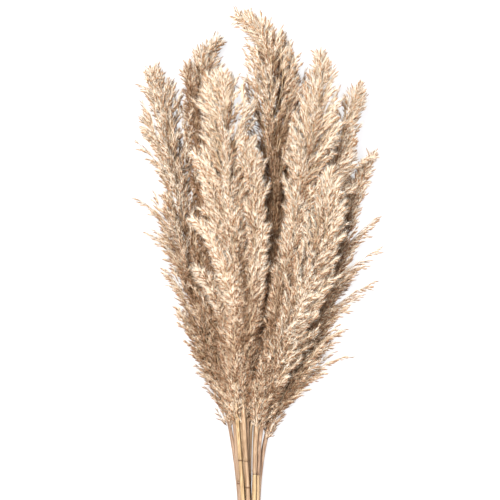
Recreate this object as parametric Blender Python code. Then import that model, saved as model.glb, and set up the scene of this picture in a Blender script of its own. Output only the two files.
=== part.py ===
"""Bundle of pampas grass: fourteen dried stalks held together by wound twine, lying on a table.

Units are metres. +Y runs along the bundle towards the plume tips, +X lies across it, and +Z is up.
The table is the plane z = 0. Routes are written with their second number counted from the tie.
"""

import math

import bmesh
import bpy
import numpy as np
from mathutils import Vector

# Stems
STEM_R_CUT = 0.00200  # at the cut end
STEM_R_TOP = 0.00150  # where the plume starts
STEM_SIDES = 8
STEM_RING_STEP = 0.022
NODE_STEP = 0.078  # one swollen joint in every such length
NODE_SWELL = 0.00022
NODE_HALF = 0.0022
CUT_END = -0.165  # the cut ends lie this far behind the tie
CUT_UNEVEN = 0.008
CUT_TURN = 2.4  # radians of the unevenness from one stalk to the next
FIRST_NODE = 0.030  # from the cut end to the lowest joint, on the stem where it is lowest
FIRST_NODE_STEP = 0.011

# Plumes
PLUME_SIDES = 10
PLUME_RINGS = 16
PLUME_TIP_R = 0.0012
PLUME_LEAN = 0.72  # under 1, the fullest place lies below the middle
PLUME_BLUNT = 0.75  # under 1, the plume swells quickly at both ends
GAP = 0.0003  # clear space between two pieces that touch
SIDE_GAP = 0.0006  # clear space between two plumes side by side

# Twine
TWINE_R = 0.0011
TWINE_TURNS = 5
TWINE_STEPS = 24  # rings in one turn
TWINE_SIDES = 6
TWINE_PITCH = 2 * TWINE_R + GAP
KNOT_SIZE = (0.0034, 0.0072, 0.0028)
KNOT_RISE = 0.0007  # the knot's middle above the twine's upper side
TAIL_R = 0.0010
# One cut end's route from the middle of the knot; the other is the same, turned half round
TAIL_ROUTE = ((0.0, 0.0015, 0.0), (0.006, 0.004, 0.001), (0.0105, 0.009, -0.0006), (0.0135, 0.015, -0.003))
SHARP_ANGLE = math.radians(50)

# Where each stem sits inside the tie: ten round the outside and four in the middle
SLOT_PITCH = 0.0044
OUTER_R = 1.70 * SLOT_PITCH
INNER_R = 0.707 * SLOT_PITCH
OUTER_START, OUTER_STEP = 18, 36
INNER_START, INNER_STEP = 9, 90
STEM_SPREAD = 1.22  # the stems open out again between the tie and their cut ends

TIE_INNER_R = OUTER_R + STEM_R_CUT + GAP
TIE_HEIGHT = TIE_INNER_R + 2 * TWINE_R  # height of the bundle's axis inside the tie
END_HEIGHT = STEM_SPREAD * OUTER_R + STEM_R_CUT + GAP

# Straw, cream, tan and brown: base colour and roughness
STRAW = ((0.62, 0.47, 0.27, 1), 0.55)
PALE = ((0.76, 0.60, 0.41, 1), 0.85)
TAN = ((0.66, 0.49, 0.33, 1), 0.88)
BROWN = ((0.49, 0.34, 0.22, 1), 0.9)
JUTE = ((0.50, 0.36, 0.20, 1), 0.9)

# One row for each stalk: name, ring and slot in the tie, plume radius, colour, and the plume's route
# from its base to its tip as (across, along from the tie, height).
STALKS = (
    ("01", "outer", 5, 0.0210, TAN,
     ((-0.020, 0.108, 0.009), (-0.0385, 0.175, 0.0105), (-0.0505, 0.235, 0.0100),
      (-0.0585, 0.296, 0.0100), (-0.069, 0.346, 0.0105), (-0.0840, 0.390, 0.0110))),
    ("02", "outer", 6, 0.0110, BROWN,
     ((-0.013, 0.112, 0.0080), (-0.0225, 0.175, 0.018), (-0.0315, 0.235, 0.024),
      (-0.039, 0.320, 0.027), (-0.047, 0.356, 0.028), (-0.052, 0.392, 0.029))),
    ("03", "outer", 7, 0.0165, TAN,
     ((-0.007, 0.110, 0.0060), (-0.0115, 0.175, 0.0075), (-0.0190, 0.235, 0.0085),
      (-0.028, 0.290, 0.0105), (-0.037, 0.350, 0.0150), (-0.039, 0.375, 0.018),
      (-0.033, 0.401, 0.020), (-0.021, 0.413, 0.020))),
    ("04", "outer", 2, 0.0200, PALE,
     ((-0.005, 0.110, 0.0255), (-0.0055, 0.169, 0.039), (-0.0085, 0.219, 0.050),
      (-0.0130, 0.260, 0.058), (-0.0175, 0.309, 0.065), (-0.0195, 0.352, 0.069),
      (-0.0215, 0.384, 0.070))),
    ("05", "inner", 1, 0.0135, PALE,
     ((-0.0010, 0.108, 0.0190), (0.0035, 0.169, 0.032), (0.0055, 0.219, 0.045),
      (0.0045, 0.260, 0.056), (0.0005, 0.300, 0.068), (-0.0060, 0.332, 0.078))),
    ("06", "inner", 3, 0.0195, BROWN,
     ((0.0033, 0.108, 0.0125), (0.0145, 0.169, 0.019), (0.0205, 0.219, 0.0255),
      (0.0210, 0.276, 0.034), (0.0195, 0.328, 0.042), (0.0190, 0.366, 0.048),
      (0.0150, 0.400, 0.052), (0.0035, 0.418, 0.053), (-0.0165, 0.426, 0.052))),
    ("07", "outer", 8, 0.0150, TAN,
     ((0.0066, 0.108, 0.0070), (0.0140, 0.169, 0.0075), (0.0200, 0.219, 0.0080),
      (0.0265, 0.276, 0.0090), (0.0335, 0.346, 0.0105), (0.0290, 0.395, 0.012),
      (0.0255, 0.417, 0.0120))),
    ("08", "outer", 1, 0.0170, TAN,
     ((0.0082, 0.106, 0.0255), (0.0225, 0.178, 0.037), (0.0325, 0.225, 0.045),
      (0.0395, 0.260, 0.051), (0.0475, 0.305, 0.057), (0.0540, 0.338, 0.061),
      (0.0575, 0.366, 0.063), (0.0585, 0.400, 0.064))),
    ("09", "inner", 0, 0.0180, TAN,
     ((0.0115, 0.106, 0.0155), (0.0265, 0.169, 0.022), (0.0415, 0.227, 0.0275),
      (0.0540, 0.264, 0.0310), (0.0650, 0.293, 0.0335), (0.0745, 0.321, 0.035),
      (0.0820, 0.346, 0.036), (0.0935, 0.375, 0.036))),
    ("10", "outer", 9, 0.0180, TAN,
     ((0.0185, 0.095, 0.0090), (0.0335, 0.132, 0.0090), (0.0455, 0.160, 0.0095),
      (0.0570, 0.190, 0.0100), (0.0690, 0.223, 0.0110), (0.0795, 0.255, 0.0115),
      (0.0900, 0.288, 0.0105), (0.1060, 0.319, 0.0090))),
    ("11", "outer", 0, 0.0185, PALE,
     ((0.0131, 0.103, 0.0215), (0.0220, 0.134, 0.029), (0.0325, 0.166, 0.038),
      (0.0450, 0.202, 0.047), (0.0560, 0.235, 0.053), (0.0630, 0.264, 0.057),
      (0.0665, 0.304, 0.061))),
    ("12", "inner", 2, 0.0140, PALE,
     ((-0.0080, 0.110, 0.0200), (-0.0095, 0.145, 0.0275), (-0.0115, 0.178, 0.035),
      (-0.0150, 0.210, 0.043), (-0.0210, 0.243, 0.051), (-0.0265, 0.272, 0.056),
      (-0.0340, 0.297, 0.060), (-0.0470, 0.317, 0.062))),
    ("13", "outer", 3, 0.0120, PALE,
     ((-0.0105, 0.110, 0.0265), (-0.0115, 0.157, 0.041), (-0.0120, 0.181, 0.050),
      (-0.0145, 0.201, 0.057), (-0.0195, 0.216, 0.061), (-0.0265, 0.234, 0.063),
      (-0.0360, 0.251, 0.064), (-0.0480, 0.263, 0.064))),
    ("14", "outer", 4, 0.0110, TAN,
     ((-0.0130, 0.108, 0.0170), (-0.0160, 0.145, 0.025), (-0.0190, 0.168, 0.031),
      (-0.0245, 0.190, 0.036), (-0.0335, 0.210, 0.040), (-0.0435, 0.222, 0.042))),
)


def clear_scene():
    for item in list(bpy.data.objects):
        bpy.data.objects.remove(item, do_unlink=True)


def make_material(name, look):
    colour, roughness = look
    material = bpy.data.materials.new(name)
    material.use_nodes = True
    shader = material.node_tree.nodes["Principled BSDF"]
    shader.inputs["Base Color"].default_value = colour
    shader.inputs["Roughness"].default_value = roughness
    shader.inputs["Metallic"].default_value = 0.0
    return material


def smooth_curve(points, per_span=24):
    """A dense curve through the points, with Catmull-Rom slopes over the chord length."""
    points = np.asarray(points, float)
    lengths = np.linalg.norm(np.diff(points, axis=0), axis=1)
    at = np.concatenate([[0], np.cumsum(lengths)])
    slopes = np.gradient(points, at, axis=0)
    out = [points[0]]
    for i, length in enumerate(lengths):
        for u in np.arange(1, per_span + 1) / per_span:
            blend = u * u * (3 - 2 * u)
            place = points[i] * (1 - blend) + points[i + 1] * blend
            place = place + slopes[i] * length * u * (1 - u) ** 2
            out.append(place - slopes[i + 1] * length * u * u * (1 - u))
    return np.array(out)


def arc_lengths(curve):
    return np.concatenate([[0], np.cumsum(np.linalg.norm(np.diff(curve, axis=0), axis=1))])


def at_lengths(curve, wanted):
    """The places and the directions on the curve at the wanted arc lengths."""
    lengths = arc_lengths(curve)
    step = lengths[-1] * 1e-3
    places = np.stack([np.interp(wanted, lengths, curve[:, k]) for k in range(3)], axis=1)
    ahead = np.stack([np.interp(wanted + step, lengths, curve[:, k]) for k in range(3)], axis=1)
    behind = np.stack([np.interp(wanted - step, lengths, curve[:, k]) for k in range(3)], axis=1)
    ways = ahead - behind
    return places, ways / np.linalg.norm(ways, axis=1)[:, None]


def slot_offset(ring, slot):
    """A stem's place across the tie, from the bundle's axis."""
    if ring == "outer":
        angle = math.radians(OUTER_START + OUTER_STEP * slot)
        return OUTER_R * math.cos(angle), OUTER_R * math.sin(angle)
    angle = math.radians(INNER_START + INNER_STEP * slot)
    return INNER_R * math.cos(angle), INNER_R * math.sin(angle)


def stalk_curve(index, ring, slot, route):
    """The whole stalk's centre line from its cut end, and the arc length where its plume starts."""
    across, up = slot_offset(ring, slot)
    cut = CUT_END + CUT_UNEVEN * math.sin(CUT_TURN * index)
    tie_half = TWINE_TURNS * TWINE_PITCH / 2
    start = (
        (STEM_SPREAD * across, cut, END_HEIGHT + STEM_SPREAD * up),
        (across, -tie_half, TIE_HEIGHT + up),
        (across, tie_half, TIE_HEIGHT + up),
    )
    curve = smooth_curve(start + route)
    nearest = np.argmin(np.linalg.norm(curve - np.array(route[0]), axis=1))
    return curve, arc_lengths(curve)[nearest]


def plume_radius(share, full):
    """The plume's wished radius at a share of its length: fullest below the middle, thin at its tip."""
    share = np.clip(share, 0, 1)
    return STEM_R_TOP + (full - STEM_R_TOP) * np.sin(math.pi * share**PLUME_LEAN) ** PLUME_BLUNT


def wished_radii(curve, base, full):
    lengths = arc_lengths(curve)
    share = (lengths - base) / (lengths[-1] - base)
    return np.where(share < 0, STEM_R_CUT, plume_radius(share, full))


def fitted_radii(places, wished, others):
    """Radii cut back so that each plume and its neighbours share the room between their centre lines."""
    radii = wished.copy()
    for curve, theirs in others:
        apart = np.linalg.norm(places[:, None] - curve[None], axis=2)
        nearest = apart.argmin(axis=1)
        room = apart.min(axis=1)
        share = wished / (wished + theirs[nearest])
        radii = np.minimum(radii, room * share - SIDE_GAP / 2)
    return np.maximum(radii, PLUME_TIP_R)


def rings_round(places, ways, upward, radii, sides):
    """A ring of points round each place, square to its way."""
    side = np.cross(ways, upward)
    side = side / np.linalg.norm(side, axis=1)[:, None]
    up = np.cross(side, ways)
    angle = math.tau * np.arange(sides) / sides
    spokes = side[:, None] * np.cos(angle)[None, :, None] + up[:, None] * np.sin(angle)[None, :, None]
    return places[:, None] + np.reshape(radii, (-1, 1, 1)) * spokes


def closed_tube(name, rings, material):
    """One closed object: four-sided faces from ring to ring, and a flat face over each end."""
    shape = bmesh.new()
    corners = [[shape.verts.new(point) for point in ring] for ring in rings]
    for near, far in zip(corners, corners[1:]):
        for k in range(len(near)):
            n = (k + 1) % len(near)
            shape.faces.new((near[k], near[n], far[n], far[k]))
    shape.faces.new(corners[0])
    shape.faces.new(corners[-1])
    bmesh.ops.recalc_face_normals(shape, faces=shape.faces)
    mesh = bpy.data.meshes.new(name)
    shape.to_mesh(mesh)
    shape.free()
    mesh.shade_smooth()
    mesh.set_sharp_from_angle(angle=SHARP_ANGLE)
    mesh.materials.append(material)
    item = bpy.data.objects.new(name, mesh)
    bpy.context.scene.collection.objects.link(item)
    return item


def stalk_piece(name, places, ways, radii, sides, material):
    """A stretch of a stalk, flattened where it would sink into the table."""
    rings = rings_round(places, ways, np.array((0.0, 0.0, 1.0)), radii, sides)
    rings[:, :, 2] = np.maximum(rings[:, :, 2], 0)
    return closed_tube(name, rings, material)


def stem_lengths(start, end, first_node):
    """Arc lengths of a stem's rings: evenly spread, with three at each swollen joint."""
    nodes = np.arange(start + first_node, end - 3 * NODE_HALF, NODE_STEP)
    even = np.linspace(start, end, max(2, round((end - start) / STEM_RING_STEP)))
    near_node = np.abs(even[:, None] - nodes[None]).min(axis=1) < 2 * NODE_HALF
    joints = (nodes[:, None] + NODE_HALF * np.array((-1, 0, 1))[None]).ravel()
    return np.sort(np.concatenate([even[~near_node], joints])), nodes


def make_stem(name, curve, base, first_node, material):
    lengths, nodes = stem_lengths(0.0, base - GAP / 2, first_node)
    places, ways = at_lengths(curve, lengths)
    radii = STEM_R_CUT + (STEM_R_TOP - STEM_R_CUT) * lengths / base
    swollen = np.abs(lengths[:, None] - nodes[None]).min(axis=1) < NODE_HALF / 2
    inside_tie = np.abs(places[:, 1]) < TWINE_TURNS * TWINE_PITCH
    radii = radii + np.where(swollen & ~inside_tie, NODE_SWELL, 0)
    return stalk_piece("stem_" + name, places, ways, radii, STEM_SIDES, material)


def make_plume(name, curve, base, full, others, material):
    end = arc_lengths(curve)[-1]
    share = np.linspace(0, 1, PLUME_RINGS)
    places, ways = at_lengths(curve, base + GAP / 2 + share * (end - base - GAP / 2))
    radii = fitted_radii(places, plume_radius(share, full), others)
    return stalk_piece("plume_" + name, places, ways, radii, PLUME_SIDES, material)


def twine_curve():
    """The wound twine's centre line: a close helix round the stems, starting and ending on top."""
    angle = np.linspace(0, math.tau * TWINE_TURNS, TWINE_TURNS * TWINE_STEPS + 1)
    along = (angle / (math.tau * TWINE_TURNS) - 0.5) * TWINE_TURNS * TWINE_PITCH
    radius = TIE_INNER_R + TWINE_R
    return np.stack([radius * np.sin(angle), along, TIE_HEIGHT + radius * np.cos(angle)], axis=1)


def twine_piece(name, curve, radius, material):
    """Round twine along the curve, its rings turned by the direction away from the bundle's axis."""
    ways = np.gradient(curve, axis=0)
    ways = ways / np.linalg.norm(ways, axis=1)[:, None]
    outward = (curve - np.array((0.0, 0.0, TIE_HEIGHT))) * np.array((1.0, 0.0, 1.0))
    return closed_tube(name, rings_round(curve, ways, outward, radius, TWINE_SIDES), material)


def join_into(item, helper):
    union = item.modifiers.new("with_" + helper.name, "BOOLEAN")
    union.operation = "UNION"
    union.solver = "EXACT"
    union.object = helper
    helper.hide_render = True
    helper.display_type = "WIRE"


def make_knot(top, material):
    bpy.ops.mesh.primitive_ico_sphere_add(subdivisions=2, radius=1.0, location=(0, 0, top))
    knot = bpy.context.object
    knot.name = "knot_helper"
    for vertex in knot.data.vertices:
        vertex.co = Vector((a * b for a, b in zip(vertex.co, KNOT_SIZE)))
    knot.data.materials.append(material)
    return knot


def make_tie(material):
    """Five turns of twine with a knot on top and two short cut ends."""
    tie = twine_piece("bundle_tie", twine_curve(), TWINE_R, material)
    top = TIE_HEIGHT + TIE_INNER_R + 2 * TWINE_R + KNOT_RISE
    helpers = [make_knot(top, material)]
    for side in (-1, 1):
        route = [(side * across, side * along, top + rise) for across, along, rise in TAIL_ROUTE]
        helpers.append(twine_piece("tail_helper", smooth_curve(route, 4), TAIL_R, material))
    for helper in helpers:
        join_into(tie, helper)
    return [tie] + helpers


def centre_under(items):
    """Hangs everything on one empty, moved so that the middle of the whole box's underside is the origin."""
    bpy.context.view_layer.update()
    graph = bpy.context.evaluated_depsgraph_get()
    corners = []
    for item in items:
        if not item.hide_render:
            box = item.evaluated_get(graph).bound_box
            corners += [item.matrix_world @ Vector(corner) for corner in box]
    low = [min(corner[k] for corner in corners) for k in range(3)]
    high = [max(corner[k] for corner in corners) for k in range(3)]
    holder = bpy.data.objects.new("bundle", None)
    bpy.context.scene.collection.objects.link(holder)
    for item in items:
        item.parent = holder
    holder.location = (-(low[0] + high[0]) / 2, -(low[1] + high[1]) / 2, -low[2])


def build():
    clear_scene()
    straw = make_material("straw", STRAW)
    jute = make_material("jute", JUTE)
    curves = []
    for index, (name, ring, slot, full, look, route) in enumerate(STALKS):
        curve, base = stalk_curve(index, ring, slot, route)
        curves.append((curve, base, wished_radii(curve, base, full)))
    items = make_tie(jute)
    for index, (name, ring, slot, full, look, route) in enumerate(STALKS):
        curve, base, _ = curves[index]
        others = [(c, r) for k, (c, _, r) in enumerate(curves) if k != index]
        first_node = FIRST_NODE + FIRST_NODE_STEP * (index * 5 % 7)
        items.append(make_stem(name, curve, base, first_node, straw))
        material = make_material("plume_" + name, look)
        items.append(make_plume(name, curve, base, full, others, material))
    centre_under(items)


build()
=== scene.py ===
"""Looks of the bundle of pampas grass: feathery plumes, straw stems and a twine tie, round the CAD model.

Everything is in metres. +Y runs along the bundle towards the plume tips, +Z is up, and the table is z = 0.
A plume grows round its CAD solid's centre line: branches leave the stalk, branchlets leave the branches, and
spikelets sit along the branchlets. A spikelet is a brown husk with a tuft of silky hairs.

A pair of numbers that is unpacked into rng.uniform is a range.
"""
import math
from typing import NamedTuple

import bpy
import numpy as np
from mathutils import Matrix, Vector


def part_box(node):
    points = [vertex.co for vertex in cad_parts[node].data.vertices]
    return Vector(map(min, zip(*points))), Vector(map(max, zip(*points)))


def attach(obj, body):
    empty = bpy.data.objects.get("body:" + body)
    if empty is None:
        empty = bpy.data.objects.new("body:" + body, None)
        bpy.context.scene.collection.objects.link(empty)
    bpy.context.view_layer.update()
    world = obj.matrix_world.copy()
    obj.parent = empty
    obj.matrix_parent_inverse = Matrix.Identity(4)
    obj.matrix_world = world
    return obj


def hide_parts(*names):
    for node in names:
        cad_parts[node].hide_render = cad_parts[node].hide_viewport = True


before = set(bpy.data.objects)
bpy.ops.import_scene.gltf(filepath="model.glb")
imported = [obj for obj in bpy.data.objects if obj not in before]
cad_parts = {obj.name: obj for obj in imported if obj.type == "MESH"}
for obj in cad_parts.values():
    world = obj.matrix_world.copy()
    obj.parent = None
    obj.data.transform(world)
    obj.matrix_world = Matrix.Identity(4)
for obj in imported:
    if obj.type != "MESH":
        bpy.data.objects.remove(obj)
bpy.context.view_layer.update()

SEED = 20
STEM_SEED = SEED + 100
TIE_SEED = SEED + 200
DRESS_SEED = SEED + 300
UV_MAP = "OFBake"
LEAST_HEIGHT = 0.0001  # above the table


class Look(NamedTuple):
    """What a plume looks like. Widths and tones are given at five even steps from its base to its tip."""

    widths: tuple  # how far its hairs reach from its stalk
    tones: tuple  # 0 is dark brown and 1 pale cream, before the painted shade darkens tufts that lie deep
    taper: float  # the last stretch, over which it comes to a point
    density: float  # how closely it is set with branches
    hair: float  # how full its tufts are
    slot: str


# The tones are partly each plume's own colour and partly painted light: they are set lower along the lower
# stretches of plumes that lie under others, such as 03, 06 and 07, as painted shade, and set higher on 10,
# which lies in shadow at the bundle's side.
PLUMES = {
    "01": Look(
        widths=(0.011, 0.018, 0.023, 0.026, 0.026), tones=(0.06, 0.44, 0.9, 1.18, 1.36),
        taper=0.065, density=1.55, hair=1.0, slot="plume_tan"),
    "02": Look(
        widths=(0.009, 0.014, 0.014, 0.008, 0.006), tones=(0.0, 0.0, 0.1, 0.36, 0.66),
        taper=0.07, density=1.25, hair=0.8, slot="plume_brown"),
    "03": Look(
        widths=(0.007, 0.013, 0.017, 0.02, 0.019), tones=(0.0, 0.08, 0.46, 0.96, 1.26),
        taper=0.055, density=1.3, hair=0.9, slot="plume_tan"),
    "04": Look(
        widths=(0.006, 0.01, 0.013, 0.02, 0.028), tones=(0.0, 0.36, 0.8, 1.12, 1.34),
        taper=0.036, density=1.55, hair=1.15, slot="plume_pale"),
    "05": Look(
        widths=(0.0035, 0.0045, 0.006, 0.01, 0.017), tones=(0.0, 0.32, 0.72, 1.02, 1.24),
        taper=0.045, density=1.3, hair=1.05, slot="plume_pale"),
    "06": Look(
        widths=(0.005, 0.008, 0.014, 0.023, 0.016), tones=(0.0, 0.0, 0.0, 0.92, 1.3),
        taper=0.065, density=1.5, hair=0.9, slot="plume_brown"),
    "07": Look(
        widths=(0.007, 0.01, 0.015, 0.022, 0.02), tones=(0.0, 0.0, 0.06, 0.9, 1.34),
        taper=0.07, density=1.4, hair=0.8, slot="plume_tan"),
    "08": Look(
        widths=(0.0035, 0.005, 0.009, 0.018, 0.02), tones=(0.24, 0.52, 0.88, 1.12, 1.3),
        taper=0.065, density=1.4, hair=1.0, slot="plume_tan"),
    "09": Look(
        widths=(0.006, 0.012, 0.017, 0.021, 0.02), tones=(0.38, 0.64, 0.96, 1.22, 1.34),
        taper=0.075, density=1.4, hair=0.9, slot="plume_tan"),
    "10": Look(
        widths=(0.014, 0.021, 0.02, 0.016, 0.012), tones=(0.5, 0.78, 1.02, 1.1, 1.18),
        taper=0.1, density=1.55, hair=0.95, slot="plume_tan"),
    "11": Look(
        widths=(0.009, 0.013, 0.016, 0.018, 0.017), tones=(0.42, 0.74, 1.02, 1.16, 1.28),
        taper=0.065, density=1.4, hair=1.15, slot="plume_pale"),
    "12": Look(
        widths=(0.004, 0.0055, 0.008, 0.011, 0.01), tones=(0.0, 0.32, 0.74, 1.08, 1.3),
        taper=0.055, density=1.4, hair=1.05, slot="plume_pale"),
    "13": Look(
        widths=(0.0025, 0.0035, 0.004, 0.0044, 0.0038), tones=(0.06, 0.5, 0.92, 1.15, 1.32),
        taper=0.05, density=1.5, hair=1.05, slot="plume_pale"),
    "14": Look(
        widths=(0.0025, 0.0035, 0.0037, 0.0039, 0.0036), tones=(0.0, 0.3, 0.64, 0.95, 1.2),
        taper=0.045, density=1.45, hair=1.0, slot="plume_tan"),
}
LOOK_STEPS = np.linspace(0, 1, 5)


# ---- curves

NEARLY_ZERO = 1e-12
UP = np.array((0.0, 0.0, 1.0))
ACROSS = np.array((1.0, 0.0, 0.0))
STEEP = 0.9  # a direction that rises more is too close to straight up
NEARLY_UPRIGHT = 0.1
CURVE_STEPS = 12  # in each span


def unit(vectors):
    return vectors / np.maximum(np.linalg.norm(vectors, axis=-1, keepdims=True), NEARLY_ZERO)


def arc_lengths(points):
    steps = np.linalg.norm(np.diff(points, axis=0), axis=1)
    return np.concatenate([[0.0], np.cumsum(steps)])


def smooth_curve(points, per_span):
    """A dense curve through the points, with a slope at each point from its neighbours."""
    at = arc_lengths(points)
    slopes = np.gradient(points, at, axis=0)
    out = [points[0]]
    for i, length in enumerate(np.diff(at)):
        for u in np.arange(1, per_span + 1) / per_span:
            blend = u * u * (3 - 2 * u)
            place = points[i] * (1 - blend) + points[i + 1] * blend
            place = place + slopes[i] * length * u * (1 - u) ** 2
            out.append(place - slopes[i + 1] * length * u * u * (1 - u))
    return np.array(out)


def square_to(ways):
    """Two directions for each given one, square to it and to each other."""
    helper = np.where(np.abs(ways[..., 2:3]) < STEEP, UP, ACROSS)
    side = unit(np.cross(ways, helper))
    return side, np.cross(side, ways)


def tilted(ways, angle, turn):
    """Directions leaning from the given ones by angle, towards turn."""
    side, up = square_to(ways)
    lean = np.cos(turn)[..., None] * side + np.sin(turn)[..., None] * up
    return np.cos(angle)[..., None] * ways + np.sin(angle)[..., None] * lean


def carried_frame(points):
    """Directions along a curve, and two square to it that are carried along without twisting."""
    ways = unit(np.gradient(points, axis=0))
    side = np.cross(ways[0], UP)
    if np.linalg.norm(side) < NEARLY_UPRIGHT:
        side = np.cross(ways[0], ACROSS)
    sides = []
    for way in ways:
        side = unit(side - way * np.dot(side, way))
        sides.append(side)
    sides = np.array(sides)
    return ways, sides, np.cross(sides, ways)


class Track:
    """A centre line that can be asked for a place off its axis."""

    def __init__(self, line, per_span=CURVE_STEPS):
        self.points = smooth_curve(np.asarray(line, float), per_span)
        self.at = arc_lengths(self.points)
        self.length = self.at[-1]
        self.ways, self.sides, self.ups = carried_frame(self.points)

    def read(self, values, at):
        return np.stack([np.interp(at, self.at, values[:, k]) for k in range(3)], axis=-1)

    def place(self, at, off=0.0, turn=0.0):
        """The points at these arc lengths, off the axis by off towards the angle turn."""
        at, off, turn = np.broadcast_arrays(at, off, turn)
        beyond = np.maximum(at - self.length, 0)[..., None]
        base = self.read(self.points, at) + beyond * self.read(self.ways, at)
        spoke = np.cos(turn)[..., None] * self.read(self.sides, at)
        spoke = spoke + np.sin(turn)[..., None] * self.read(self.ups, at)
        return base + off[..., None] * spoke


def nearest_on(track, places):
    """The arc length of the track's nearest point to each place, and the direction and distance from it."""
    apart = np.linalg.norm(track.points[None] - places[:, None], axis=2)
    best = apart.argmin(axis=1)
    return track.at[best], unit(places - track.points[best]), apart.min(axis=1)


def along_path(paths, row, share):
    """The places and directions at a share of the length of the paths with these row numbers."""
    count = paths.shape[1] - 1
    where = np.clip(share, 0, 1) * count
    low = np.minimum(where.astype(int), count - 1)
    part = (where - low)[:, None]
    start, end = paths[row, low], paths[row, low + 1]
    return start * (1 - part) + end * part, unit(end - start)


# ---- CAD centre lines

PLUME_SIDES = 10
STEM_SIDES = 8
JOINT_RISE = 0.0001  # a ring this much wider than its neighbours is a joint
SAME_PLACE = 6  # decimals to which two corners agree


def ring_centres(name, sides):
    """The middle and the radius of each ring of a CAD tube, from the ring nearest the cut ends outwards."""
    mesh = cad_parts[name].data
    places = np.array([v.co for v in mesh.vertices], float).reshape(-1, 3)
    corners, number = np.unique(np.round(places, SAME_PLACE), axis=0, return_inverse=True)
    number = number.reshape(-1)
    near = [set() for _ in corners]
    for edge in mesh.edges:
        one, other = (number[v] for v in edge.vertices)
        near[one].add(other)
        near[other].add(one)
    lowest = corners[corners[:, 1].argmin()]
    ring = set(np.linalg.norm(corners - lowest, axis=1).argsort()[:sides].tolist())
    seen, middles, radii = set(), [], []
    while ring:
        points = corners[sorted(ring)]
        middles.append(points.mean(axis=0))
        radii.append(np.linalg.norm(points - middles[-1], axis=1).mean())
        seen |= ring
        ring = {other for one in ring for other in near[one]} - seen
    return np.array(middles), np.array(radii)


class Stalk(Track):
    """A whole stalk's centre line, with the arc lengths of its joints and of its plume's start."""

    def __init__(self, name):
        stem, radii = ring_centres("stem_" + name, STEM_SIDES)
        plume, _ = ring_centres("plume_" + name, PLUME_SIDES)
        line = np.concatenate([stem, plume])
        super().__init__(line)
        reach = arc_lengths(line)
        scale = self.length / reach[-1]
        inner = range(1, len(stem) - 1)
        swollen = [i for i in inner if radii[i] > max(radii[i - 1], radii[i + 1]) + JOINT_RISE]
        self.joint_at = reach[swollen] * scale
        self.plume_start = reach[len(stem)] * scale

    def plume_share(self, at):
        """How far along the plume these arc lengths are, from 0 at its base to 1 at its tip."""
        return (at - self.plume_start) / (self.length - self.plume_start)


# ---- meshes

# A shape is its corners, its triangles and one map place for each corner of each triangle, or None.
# Across the map goes a piece's tone, and up the map the way from its root to its tip.
UV_HALF = 0.006  # half of a hair's width on the map
NEEDLE_FACES = np.array(((0, 1, 3), (1, 2, 3), (2, 0, 3), (2, 1, 0)))
NEEDLE_SPOTS = ((-UV_HALF, 0.02), (0.0, 0.06), (UV_HALF, 0.02), (0.0, 0.98))
HUSK_FACES = np.array(((0, 2, 1), (0, 3, 2), (0, 1, 3), (1, 2, 4), (2, 3, 4), (3, 1, 4)))
HUSK_SPOTS = ((0.0, 0.02), (-UV_HALF, 0.58), (0.0, 0.62), (UV_HALF, 0.58), (0.0, 0.98))
HUSK_WIDEST = 0.60  # of its length
HUSK_DEPTH = 0.6  # of its width
TWIG_MAP_START = 0.02
TWIG_MAP_LENGTH = 0.94


def mesh_piece(name, shape, material, node, shades=None):
    """An object made from a shape, which stands for a CAD node."""
    corners, faces, uvs = shape
    mesh = bpy.data.meshes.new(name)
    mesh.vertices.add(len(corners))
    mesh.vertices.foreach_set("co", corners.astype(np.float32).ravel())
    mesh.loops.add(faces.size)
    mesh.loops.foreach_set("vertex_index", faces.astype(np.int32).ravel())
    mesh.polygons.add(len(faces))
    mesh.polygons.foreach_set("loop_start", np.arange(0, faces.size, 3, dtype=np.int32))
    mesh.polygons.foreach_set("use_smooth", np.ones(len(faces), bool))
    if uvs is not None:
        layer = mesh.uv_layers.new(name=UV_MAP)
        layer.data.foreach_set("uv", uvs.astype(np.float32).ravel())
    if shades is not None:
        tint = mesh.color_attributes.new(name="shade", type="FLOAT_COLOR", domain="POINT")
        tint.data.foreach_set("color", shades.astype(np.float32).ravel())
    mesh.update(calc_edges=True)
    mesh.materials.append(material)
    item = bpy.data.objects.new(name, mesh)
    bpy.context.scene.collection.objects.link(item)
    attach(item, "root")
    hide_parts(node)
    return item


def map_places(tones, spots):
    """Each corner's map place, from how far it is beside its tone and how far up the map."""
    places = [np.stack([tones + aside, np.full_like(tones, rise)], axis=-1) for aside, rise in spots]
    return np.stack(places, axis=1)


def packed(corners, faces, places):
    """Many copies of one small shape as a single shape."""
    count, size = corners.shape[:2]
    all_faces = (np.arange(count)[:, None, None] * size + faces[None]).reshape(-1, 3)
    uvs = places[:, faces.ravel()].reshape(-1, 2)
    return corners.reshape(-1, 3), all_faces, uvs


def needles(roots, ways, lengths, widths, tones):
    """Fine hairs as closed needles: three corners at the root and one at the tip."""
    side, up = square_to(ways)
    corners = []
    for k in range(3):
        angle = math.tau * k / 3
        spoke = side * math.cos(angle) + up * math.sin(angle)
        corners.append(roots + spoke * (widths / 2)[:, None])
    corners.append(roots + ways * lengths[:, None])
    return packed(np.stack(corners, axis=1), NEEDLE_FACES, map_places(tones, NEEDLE_SPOTS))


def husks(roots, ways, lengths, widths, tones):
    """Small spindle-shaped husks on a thin foot, widest above their middle."""
    side, up = square_to(ways)
    corners = [roots]
    for k in range(3):
        angle = math.tau * k / 3
        spoke = side * math.cos(angle) + HUSK_DEPTH * up * math.sin(angle)
        corners.append(roots + ways * (HUSK_WIDEST * lengths)[:, None] + spoke * (widths / 2)[:, None])
    corners.append(roots + ways * lengths[:, None])
    return packed(np.stack(corners, axis=1), HUSK_FACES, map_places(tones, HUSK_SPOTS))


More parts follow.
